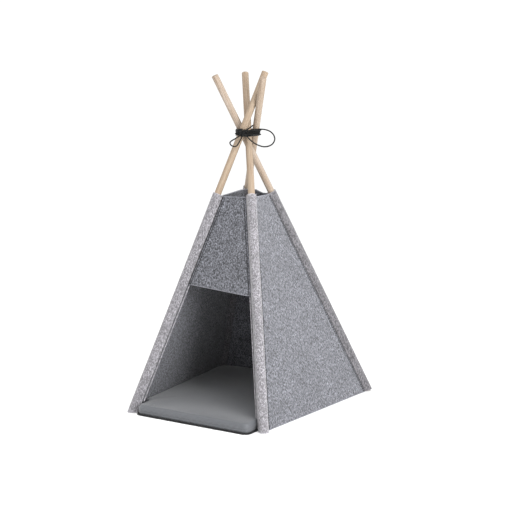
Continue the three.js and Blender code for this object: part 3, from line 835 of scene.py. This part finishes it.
class TEEPEE_OT_walls(bpy.types.Operator):
    """Four felt walls, each with its cut edges and its rows of stitches"""
    bl_idname = "teepee.walls"
    bl_label = "Walls"

    def execute(self, context):
        felt = settings().felt
        material = felt_material("needle_felt_grey", felt.wall, 0.0, 1.0)
        thread = speckled_material("thread_and_groove_shade", felt.thread, 0.6 * MM, 0.7)
        for node in WALLS:
            wall = Wall(node, felt)
            piece = self.sheet(wall, material)
            rows, flaps = self.stitches(wall, thread), self.flaps(wall, material)
            for each in (piece, rows, flaps):
                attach(each, wall.body)
                if wall.keep:
                    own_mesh(each)
            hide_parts(node)
        return {"FINISHED"}

    def sheet(self, wall, material):
        """The wall as a closed slab: its front, a half-round edge, its back and the other edge, at
        each height, with flat cut ends. It thins along its rows of stitches."""
        felt = wall.felt
        # Points close together near both seams and both cut edges, and further apart between
        band = np.linspace(0, 12 * MM, 21)
        middle = np.linspace(0, 1, 48)[1:-1]
        tall = np.linspace(0, 1, 122)
        edge_rows = np.array([0.0, 1.1, 2.0, 3.2]) * MM / (wall.top - min(wall.low))
        rows = np.concatenate([edge_rows, tall[1:-1], 1 - edge_rows[::-1]])
        unset, unset_middle = np.full(len(band), np.nan), np.full(len(middle), np.nan)
        share = np.concatenate([np.zeros(len(band)), middle, np.ones(len(band))])
        height = wall.heights(share, rows)
        height[0] += 0.7 * MM * (0.5 + 0.5 * waves(share * wall.seed, share, wall.seed, 0.11))
        fill = np.ones((len(rows), 1))
        near = np.concatenate([band, unset_middle, unset]) * fill
        far = np.concatenate([unset, unset_middle, band[::-1]]) * fill
        wide = wall.surface(height, near * 0, far)[-1]
        between = band[-1] + np.concatenate([unset, middle, unset]) * (wide - 2 * band[-1])
        near = np.where(np.isnan(near) & np.isnan(far), between, near)
        points, normal, along, across, wide = wall.surface(height, near, far)
        from_edge = np.minimum(across * wide, wide - across * wide)
        run = height / np.mean([wall.a["up"][2], wall.b["up"][2]])
        pucker = 0.22 * MM * np.cos(2 * np.pi * run / (9.5 * MM) + 3 * waves(run, run * 0, 5, 90 * MM))
        pucker *= np.exp(-((from_edge - felt.stitch_inset) / (4 * MM)) ** 2)
        points = points + pucker[..., None] * normal
        fuzz = 0.14 * MM * waves(points[..., 0] + points[..., 1], points[..., 2], wall.seed + 9, 7 * MM, 9)
        half = felt.thickness / 2 - stitched(from_edge, felt)
        front = points + (half + fuzz)[..., None] * normal
        back = points - (half - fuzz)[..., None] * normal
        bend = np.radians([35, 90, 145])
        ends = []
        for column, way in ((-1, 1), (0, -1)):
            tangent = way * along[:, column, None] * np.sin(bend)[:, None]
            turn = normal[:, column, None] * np.cos(bend)[:, None]
            ends.append(points[:, column, None] + half[:, column, None, None] * (tangent + turn))
        columns = points.shape[1]
        loop = np.concatenate([front, ends[0], back[:, ::-1], ends[1][:, ::-1]], axis=1)
        loop[..., 2] = np.maximum(loop[..., 2], FLOOR_GAP)
        count = loop.shape[1]
        i = np.arange(columns - 1)
        back_of = 2 * columns + len(bend) - 1
        cap = np.stack([i, i + 1, back_of - i - 1, back_of - i], -1)
        right = np.array([[columns - 1, columns, columns + 1, columns + 2, columns + 3]])
        left = np.array([[back_of, back_of + 1, back_of + 2, back_of + 3, 0]])
        final = (len(rows) - 1) * count
        faces = [grid_faces(len(rows), count), cap, right, left, cap + final, right + final, left + final]
        # Painted highlight on the wall's top and bottom cut edges
        row_highlight = np.zeros(len(rows))
        row_highlight[[0, 1, -2, -1]] = [1, 0.9, 0.9, 1]
        edge_highlight = np.maximum(row_highlight[:, None], np.zeros(count))
        # The wall's darkening attribute carries its painted shade
        piece = make_piece(f"{wall.node}_felt", loop.reshape(-1, 3), faces, material,
                           {"edge_highlight": edge_highlight.ravel(), "darkening": np.full(edge_highlight.size, WALL_PAINTED_SHADE.get(wall.node, 0.0))},
                           crease=45)
        steps = np.linalg.norm(np.diff(points, axis=1), axis=-1).sum(1)
        slant = np.linalg.norm(points[-1].mean(0) - points[0].mean(0))
        wall.flat = (float(steps.max()), float(slant))
        wall.area = float(((steps[1:] + steps[:-1]) / 2 * np.diff(rows)).sum() * slant)
        return piece

    def flaps(self, wall, material):
        """On the inside, each edge's seam allowance: a thin strip that lies on the wall and goes on
        to the sleeve, so that no light comes through the groove."""
        shapes, rows = [], 60
        for end, start in enumerate((wall.start, wall.stop)):
            height = np.linspace(wall.low[end] + MM, wall.top - MM, rows)
            blank = np.full(rows, np.nan)
            sleeve = sleeve_corner() - 1.4 * MM - start
            corners = []
            for place, depth in ((sleeve, -0.3), (6 * MM, -0.3), (6 * MM, 0.7), (sleeve, 0.7)):
                places = [np.full(rows, place) if i == end else blank for i in (0, 1)]
                here, normal = wall.surface(height, *places)[:2]
                corners.append(here - (wall.felt.thickness / 2 + depth * MM) * normal)
            corners = np.stack(corners, 1).reshape(-1, 3)
            shapes.append((corners, closed_strip(rows, 4), np.zeros((len(corners), 2))))
        points, faces, _ = joined(shapes)
        points[:, 2] = np.maximum(points[:, 2], FLOOR_GAP)
        return make_piece(f"{wall.node}_seam_allowance", points, faces, material, crease=40)

    def stitches(self, wall, material):
        """Both faces of the two rows, one small rounded bar for each stitch, sunk a little."""
        felt = wall.felt
        rise = np.mean([wall.a["up"][2], wall.b["up"][2]])
        shapes, rows = [], 160
        for end in (0, 1):
            low = wall.low[end] + 4 * MM
            middle = np.arange(low, wall.top - 4 * MM, felt.stitch_pitch * rise)
            inset = np.full(len(middle), felt.stitch_inset)
            blank = inset * np.nan
            places = (inset, blank) if end == 0 else (blank, inset)
            here, normal, along, _, _ = wall.surface(middle, *places)
            above = wall.surface(middle + MM, *places)[0]
            way = unit(above - here)
            for face in (1, -1):
                centre = here + face * normal * (felt.thickness / 2 - 0.3 * MM)
                shapes.append(bars(centre, way, along, normal, felt.stitch_length, 0.95 * MM))
            # Painted shade: a dark line of thread colour laid down in the groove stands for the shade
            # between the sleeve and the wall
            gap = (wall.stop if end else wall.start) - sleeve_corner()
            height = np.linspace(wall.low[end] + MM, wall.top - MM, rows)
            places = [np.full(rows, -0.5 * gap if i == end else np.nan) for i in (0, 1)]
            here, normal = wall.surface(height, *places)[:2]
            shapes.append(tube(here + (felt.thickness / 2 - 0.8 * MM) * normal, 0.44 * gap, 10))
        points, faces, _ = joined(shapes)
        return make_piece(f"{wall.node}_stitches", points, faces, material)


def bars(centres, way, side, up, long, thick):
    """Small rounded bars: at each centre a ring of six points at four places along it, thin at its
    ends, with the ends closed."""
    places = np.array([-0.5, -0.36, 0.36, 0.5])
    width = np.array([0.35, 1.0, 1.0, 0.35]) * thick
    angle = np.linspace(0, 2 * np.pi, 6, endpoint=False)
    local = np.stack([np.broadcast_to(places[:, None] * long, (4, 6)),
                      width[:, None] * np.cos(angle), width[:, None] * np.sin(angle)], -1).reshape(-1, 3)
    axes = np.stack([way, side, up], 1)
    points = centres[:, None] + local @ axes
    faces = [grid_faces(4, 6), np.arange(6)[None, ::-1], 18 + np.arange(6)[None]]
    offset = 24 * np.arange(len(centres))[:, None, None]
    faces = [(table[None] + offset).reshape(-1, table.shape[1]) for table in faces]
    return points.reshape(-1, 3), faces, np.zeros((points.shape[0] * 24, 2))


def sleeve_section(radius, corner, count=18):
    """A sleeve's outline as (across, outward): half round outside, two straight sides and a flat
    inner side, with rounded inner corners, as an open list of points that closes on itself."""
    arc = np.linspace(0, np.pi, 2 * count + 1)
    outside = radius * np.stack([np.cos(arc), np.sin(arc)], -1)
    down = np.linspace(0, -(radius - corner), 7)[1:-1]
    bend = np.linspace(0, np.pi / 2, 6)
    flat = radius - corner
    left_corner = np.stack([-flat - corner * np.cos(bend), -flat - corner * np.sin(bend)], -1)
    across = np.linspace(-flat, flat, 8)[1:-1]
    left = np.stack([np.full(len(down), -radius), down], -1)
    inner = np.stack([across, np.full(len(across), -radius)], -1)
    right_corner = left_corner[::-1] * [-1, 1]
    right = (left * [-1, 1])[::-1]
    return np.concatenate([outside, left, left_corner, inner, right_corner, right])


# How far each sleeve's felt is darkened: partly painted shade for the light each sleeve gets, partly a tone
# that differs between pieces
SLEEVE_TONE_AND_SHADE = {"front_left": 0.15, "front_right": 0.0, "back_right": 0.85, "back_left": 0.85}


class TEEPEE_OT_sleeves(bpy.types.Operator):
    """A closed felt sleeve round each pole, and the felt edges that face the doorway"""
    bl_idname = "teepee.sleeves"
    bl_label = "Sleeves"

    def execute(self, context):
        felt = settings().felt
        material = felt_material("needle_felt_pale", felt.sleeve, 2.3, 0.6)
        for i, (corner, pole) in enumerate(POLES.items()):
            piece, flat = self.sleeve(pole, 60 + i, material, felt)
            body = SIDE_BODY[corner.split("_")[1]]
            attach(piece, body)
            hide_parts(f"sleeve_{corner}")
        for corner in ("front_left", "front_right"):
            piece, wide, long = self.door_edge(corner, material, felt)
            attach(piece, SIDE_BODY[corner.split("_")[1]])
        return {"FINISHED"}

    def sleeve(self, pole, seed, material, felt):
        """The outline and a smaller one inside it, carried up the pole; the outer one swells and
        sinks by a quarter of a millimetre as felt does over a dowel, and flat rings close the ends."""
        front = pole["corner"].startswith("front")
        node = node_points(f"sleeve_{pole['corner']}") - pole["foot"]
        place = node @ pole["up"]
        low, high = place.min(), place.max()
        high += felt.back_rise if pole["corner"] == "back_left" else 0
        radius = np.abs(node @ pole["across"]).max()
        long, edge = (high - low) / MM, np.array([0, 0.9, 1.9, 3.5])
        rows = np.concatenate([edge, np.linspace(8, long - 8, 96), long - edge[::-1]]) * MM + low
        outer, inner = sleeve_section(radius, 2.4 * MM), sleeve_section(radius - felt.thickness, 1.0 * MM)
        turn = np.arctan2(outer[:, 1], outer[:, 0])
        swell = 0.28 * MM * waves(turn[None] * 9 * MM, rows[:, None], seed, 60 * MM, 7)
        swell += 0.12 * MM * waves(turn[None] * 9 * MM, rows[:, None], seed + 7, 9 * MM, 9)
        rings = []
        for outline, share in ((outer, 1.0), (inner, 0.0)):
            grown = outline[None] + (share * swell)[..., None] * unit(outline)[None]
            # The lower end is cut level with the floor; the cut's slant fades out over 40 mm
            level = (0.4 * MM - pole["foot"][2] - grown[..., 1] * pole["outward"][2]) / pole["up"][2]
            fade = np.clip(1 - (rows - low) / (40 * MM), 0, 1)[:, None] ** 2
            climb = rows[:, None] + fade * (level - low) * (1.0 if front else 0.55)
            ring = pole["foot"] + grown[..., :1] * pole["across"] + grown[..., 1:] * pole["outward"]
            rings.append(ring + climb[..., None] * pole["up"])
        count, sides = len(rows), len(outer)
        points = np.concatenate([ring.reshape(-1, 3) for ring in rings])
        i = np.arange(sides)
        after, base = (i + 1) % sides, count * sides
        end = np.stack([i, after, after + base, i + base], -1)
        faces = [grid_faces(count, sides), grid_faces(count, sides, start=base),
                 end, end + (count - 1) * sides]
        # Painted highlight on both cut ends of the sleeve
        edge_highlight = np.zeros((count, 1))
        edge_highlight[[0, 1, -2, -1], 0] = [1, 0.6, 0.6, 1]
        edge_highlight = np.broadcast_to(edge_highlight, (count, sides)).ravel()
        points[:, 2] = np.maximum(points[:, 2], FLOOR_GAP)
        # The sleeve's darkening: partly painted shade, partly its own tone
        darkening = SLEEVE_TONE_AND_SHADE[pole["corner"]]
        piece = make_piece(f"sleeve_{pole['corner']}_felt", points, faces, material,
                           {"edge_highlight": np.tile(edge_highlight, 2), "darkening": np.full(len(points), darkening)}, crease=45)
        around = [np.linalg.norm(np.roll(o, -1, 0) - o, axis=1).sum() for o in (outer, inner)]
        return piece, (float(np.mean(around)), float(high - low))

    def door_edge(self, corner, material, felt):
        """Below the front wall the sleeve's seam allowance shows as a narrow felt edge that faces
        the doorway: a rounded strip that runs from the cushion up to the wall."""
        wall = Wall("panel_front", felt)
        end = 0 if corner == "front_left" else 1
        low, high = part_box("cushion_cover")[1].z + 3.5 * MM, wall.low[end] - 1.2 * MM
        rows = 90
        height = np.linspace(low, high, rows)
        near = np.full(rows, 0.2 * MM)
        blank = near * np.nan
        here, normal, along, _, _ = wall.surface(height, *((near, blank) if end == 0 else (blank, near)))
        inward = along * (1 if end == 0 else -1)
        wide, thick = 2.4 * MM, felt.thickness * 0.45
        # Section as (towards the doorway, outwards), rounded on the doorway side
        bend = np.radians(np.linspace(90, -90, 7))
        nose = np.stack([wide - thick + thick * np.cos(bend), thick * np.sin(bend)], -1)
        straight = np.array([[0, thick], [wide * 0.4, thick]])
        section = np.concatenate([straight, nose, straight[::-1] * [1, -1]])
        across, outwards = section[None, :, :1], section[None, :, 1:]
        points = here[:, None] + across * inward[:, None] + outwards * normal[:, None]
        # Painted highlight: the cut edge is painted a little paler towards its nose, where it catches the
        # light
        edge_highlight = np.tile(0.12 * np.clip(section[:, 0] / wide * 1.6 - 0.6, 0, 1), rows)
        piece = make_piece(f"door_edge_{corner.split('_')[1]}", points.reshape(-1, 3),
                           closed_strip(rows, len(section)), material, {"edge_highlight": edge_highlight}, crease=60)
        around = np.linalg.norm(np.roll(section, -1, 0) - section, axis=1).sum()
        return piece, float(around / 2), float(np.linalg.norm(here[-1] - here[0]))


def outline_of(node, count):
    """A CAD slab's outline seen from above, as a centre and count radii at even angles."""
    points = node_points(node)
    top = points[points[:, 2] > points[:, 2].max() - 0.1 * MM][:, :2]
    centre = (top.min(0) + top.max(0)) / 2
    turn = np.arctan2(*(top - centre).T[::-1])
    order = np.argsort(turn)
    top, turn = top[order], turn[order]
    # Straight sides between the corner points, measured along rays from the centre
    angle = np.linspace(-np.pi, np.pi, count, endpoint=False)
    after = np.searchsorted(turn, angle) % len(turn)
    a, b = top[after - 1] - centre, top[after] - centre
    ray = np.stack([np.cos(angle), np.sin(angle)], -1)
    edge = b - a
    cross = a[:, 0] * edge[:, 1] - a[:, 1] * edge[:, 0]
    span = ray[:, 0] * edge[:, 1] - ray[:, 1] * edge[:, 0]
    radius = cross / np.where(np.abs(span) < 1e-9, 1e-9, span)
    return centre, angle, radius


# An inset up to RIM is taken off a pad's radius as it is. Past that it is a share of what is left,
# which reaches 1 at INMOST + RIM, and rows start or end at MIDMOST, next to the centre
RIM, INMOST, MIDMOST = 20 * MM, 180 * MM, 195 * MM


def pad(outline, profile, relief=None):
    """A closed form from an outline and a profile of (inset, height) from the middle of its
    underside out to its side and back to the middle of its top. Each point lies on its ray from the
    centre, at the outline's radius less its inset."""
    centre, angle, radius = outline
    inset, height = np.asarray(profile, float).T[:, :, None]
    near = np.minimum(inset, RIM)
    share = np.clip((inset - RIM) / INMOST, 0, 0.97)
    reach = (radius - near) * (1 - share)
    x, y = centre[0] + reach * np.cos(angle), centre[1] + reach * np.sin(angle)
    z = np.broadcast_to(height, reach.shape).copy()
    if relief is not None:
        z += relief(x, y, inset, angle)
    points = np.stack([x, y, z], -1).reshape(-1, 3)
    ends = [[*centre, z[0].mean()], [*centre, z[-1].mean()]]
    return np.concatenate([points, ends]), closed_ends(len(profile), len(angle))


def flat_rows(outermost, height, count, inwards=False):
    """Evenly spaced (inset, height) points over a pad's flat side, from next to its centre out to
    the inset given in millimetres, or the other way."""
    insets = np.linspace(MIDMOST / MM, outermost, count) * MM
    rows = np.stack([insets, np.full(count, height)], -1)
    return rows[::-1] if inwards else rows


def arc(centre_inset, centre_height, radius, start, stop, steps):
    """Part of a circle as (inset, height) points; 0 degrees points outwards and 90 up."""
    turn = np.radians(np.linspace(start, stop, steps))
    return np.stack([centre_inset - radius * np.cos(turn), centre_height + radius * np.sin(turn)], -1)


# Colours of the cushion's foam and of the zip's slider
FOAM, ZINC = linear("#E7E0CE"), linear("#9C9EA0")


class TEEPEE_OT_cushion(bpy.types.Operator):
    """The cushion with its cover, the foam inside it and its black base"""
    bl_idname = "teepee.cushion"
    bl_label = "Cushion"

    def execute(self, context):
        cushion = settings().cushion
        low, high = (corner.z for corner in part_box("cushion_cover"))
        cloth = cloth_material("plain_weave_polyester", cushion.cover, 1.1 * MM, 0.42, 0.35)
        r, foot = cushion.edge_round, 2.5 * MM
        inward = np.concatenate([[r], r + INMOST * np.linspace(0.015, 1, 44) ** 1.5])
        crown = cushion.crown * (1 - (1 - np.clip((inward - r) / (90 * MM), 0, 1)) ** 2.2)
        side_height = np.linspace(low + foot, high - r, 26)[1:-1]
        # A seam runs round the side a third of the way up
        seam = 1.0 * MM * np.exp(-((side_height - low - 7 * MM) / (0.9 * MM)) ** 2)
        bulge = cushion.bulge * np.sin(np.pi * (side_height - low) / (high - low)) - seam
        profile = np.concatenate([
            flat_rows(6, low, 14),
            arc(foot, low + foot, foot, -90, 0, 5),
            np.stack([-bulge, side_height], -1),
            arc(r, high - r, r, 0, 86, 9),
            np.stack([inward[1:], high + crown[1:]], -1)])
        top_rows = len(profile) - len(inward) + 1

        def relief(x, y, inset, angle):
            """Soft hollows over the top, and small gathers that the seam draws in round its edge."""
            on_top = (np.arange(len(profile)) >= top_rows - 6)[:, None]
            soft = 1.5 * MM * waves(x, y, 21, 120 * MM, 6) * np.clip(inset / (30 * MM), 0, 1)
            run = angle * 210 * MM
            drawn = 0.6 * MM * waves(run, run * 0, 23, 46 * MM, 7)
            return on_top * (soft + drawn * np.exp(-((inset - 12 * MM) / (9 * MM)) ** 2))

        points, faces = pad(outline_of("cushion_cover", 420), profile, relief)
        cover = make_piece("cushion_cover_cloth", points, faces, cloth)

        core_low, core_high = (corner.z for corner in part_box("cushion_core"))
        foam = speckled_material("open_cell_foam", FOAM, 1.2 * MM, 0.95)
        edge = 2 * MM
        block = np.concatenate([
            flat_rows(3, core_low, 8), arc(edge, core_low + edge, edge, -90, 0, 4),
            arc(edge, core_high - edge, edge, 0, 90, 4), flat_rows(3, core_high, 8, inwards=True)])
        points, faces = pad(outline_of("cushion_core", 240), block)
        core = make_piece("cushion_foam", points, faces, foam)

        base_low, base_high = (corner.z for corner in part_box("cushion_base"))
        black = cloth_material("non_slip_cloth", cushion.base, 2.2 * MM, 0.85, 0.05)
        thick = (base_high - base_low) / 2
        rim = np.concatenate([
            flat_rows(2, base_low, 14), arc(thick, base_low + thick, thick, -90, 90, 9),
            flat_rows(2, base_high, 14, inwards=True)])
        outline = outline_of("cushion_base", 420)
        points, faces = pad(outline, rim)
        base = make_piece("cushion_base_cloth", points, faces, black)

        for piece, node, slot in ((cover, "cushion_cover", "cushion_fabric"), (core, "cushion_core", "foam"),
                                  (base, "cushion_base", "nonslip_fabric")):
            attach(piece, "base")
            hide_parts(node)
            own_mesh(piece)
        return {"FINISHED"}


class TEEPEE_OT_zip(bpy.types.Operator):
    """The zip in the cushion's back edge: tape, two rows of teeth and the slider with its pull"""
    bl_idname = "teepee.zip"
    bl_label = "Zip"

    def execute(self, context):
        low, high = (np.array(corner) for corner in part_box("cushion_zip"))
        middle, size = (low + high) / 2, high - low
        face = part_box("cushion_cover")[1].y + settings().cushion.bulge * 0.6
        black = settings().cushion.base
        tape = cloth_material("zip_tape", black, 1.0 * MM, 0.8, 0.05)
        centre = np.array([middle[0], face, middle[2]])
        rows = 80
        span = np.linspace(-size[0] / 2, size[0] / 2, rows)
        path = centre + np.stack([span, np.full(rows, 0.15 * MM), 0.1 * MM * np.sin(span / (11 * MM))], -1)
        section = np.array([[0.5, -0.5], [0.5, 0.5], [-0.5, 0.5], [-0.5, -0.5]]) * [0.8 * MM, size[2]]
        points = path[:, None] + np.concatenate([np.zeros((4, 1)), section], 1)[None]
        strip = make_piece("zip_tape_strip", points.reshape(-1, 3), closed_strip(rows, 4), tape, crease=30)
        along, up, out = np.eye(3)[[0, 2, 1]]
        teeth = []
        # Moulded teeth 1.6 mm apart, the upper row half a step along from the lower
        for row, shift in ((0.55, 0), (-0.55, 0.8)):
            x = np.arange(-size[0] / 2 + 1.5 * MM + shift * MM, size[0] / 2 - 1.5 * MM, 1.6 * MM)
            place = centre + np.stack([x, np.full(len(x), 0.7 * MM), np.full(len(x), row * MM)], -1)
            ways = [np.tile(v, (len(x), 1)) for v in (up, along, out)]
            teeth.append(bars(place, *ways, 1.9 * MM, 0.5 * MM))
        points, faces, _ = joined(teeth)
        coil = make_piece("zip_teeth", points, faces, speckled_material("nylon_teeth", black, 0.5 * MM, 0.4))
        for piece in (strip, coil):
            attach(piece, "base")
        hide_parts("cushion_zip")

        metal = speckled_material("plated_zinc", ZINC, 0.8 * MM, 0.34, 1.0, 0.12)
        low, high = (np.array(corner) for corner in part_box("zip_slider"))
        middle, half = (low + high) / 2, (high - low) / 2
        # A superellipsoid body: each axis of a sphere's point raised to a power below one
        rows, sides = 14, 28
        around = np.linspace(0, 2 * np.pi, sides, endpoint=False)
        around, over = np.meshgrid(around, np.linspace(-1.5, 1.5, rows))
        ball = np.stack([np.cos(over) * np.cos(around), np.sin(over), np.cos(over) * np.sin(around)], -1)
        body = middle + np.sign(ball) * np.abs(ball) ** 0.45 * half * [0.95, 0.7, 0.85]
        poles = np.array([[0, -0.7, 0], [0, 0.7, 0]]) * half
        body = np.concatenate([body.reshape(-1, 3), middle + poles])
        turn = np.linspace(0, 2 * np.pi, 32, endpoint=False)
        pull = middle + np.stack([-7 * MM + 6.5 * MM * np.cos(turn), np.full(32, half[1] * 0.75),
                                  2.4 * MM * np.sin(turn)], -1)
        points, faces, _ = joined([(body, closed_ends(rows, sides), np.zeros((len(body), 2))),
                                   tube(pull, 0.6 * MM, 10, closed=True)])
        slider = make_piece("zip_slider_metal", points, faces, metal)
        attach(slider, "zip_slider")
        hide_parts("zip_slider")
        return {"FINISHED"}


class TEEPEE_PT_panel(bpy.types.Panel):
    """Lists the steps in the order in which they are run"""
    bl_label = "Teepee"
    bl_idname = "TEEPEE_PT_panel"
    bl_space_type = "VIEW_3D"
    bl_region_type = "UI"
    bl_category = "Teepee"

    def draw(self, context):
        for step in STEPS:
            self.layout.operator(step.bl_idname)
        for group in ("felt", "wood", "cushion", "cord", "stage"):
            box = self.layout.box()
            box.label(text=group.capitalize())
            values = getattr(settings(), group)
            for key in values.__annotations__:
                box.prop(values, key)


STEPS = (TEEPEE_OT_stage, TEEPEE_OT_bow, TEEPEE_OT_lashing, TEEPEE_OT_poles, TEEPEE_OT_walls,
         TEEPEE_OT_sleeves, TEEPEE_OT_cushion, TEEPEE_OT_zip)
GROUPS = (TEEPEE_PG_felt, TEEPEE_PG_wood, TEEPEE_PG_cushion, TEEPEE_PG_cord, TEEPEE_PG_stage,
          TEEPEE_PG_settings)


def register():
    for each in (*GROUPS, *STEPS, TEEPEE_PT_panel):
        bpy.utils.register_class(each)
    bpy.types.Scene.teepee = PointerProperty(type=TEEPEE_PG_settings)


def unregister():
    del bpy.types.Scene.teepee
    for each in reversed((*GROUPS, *STEPS, TEEPEE_PT_panel)):
        bpy.utils.unregister_class(each)


def main():
    register()
    for step in STEPS:
        group, name = step.bl_idname.split(".")
        getattr(getattr(bpy.ops, group), name)()


if __name__ == "__main__":
    main()
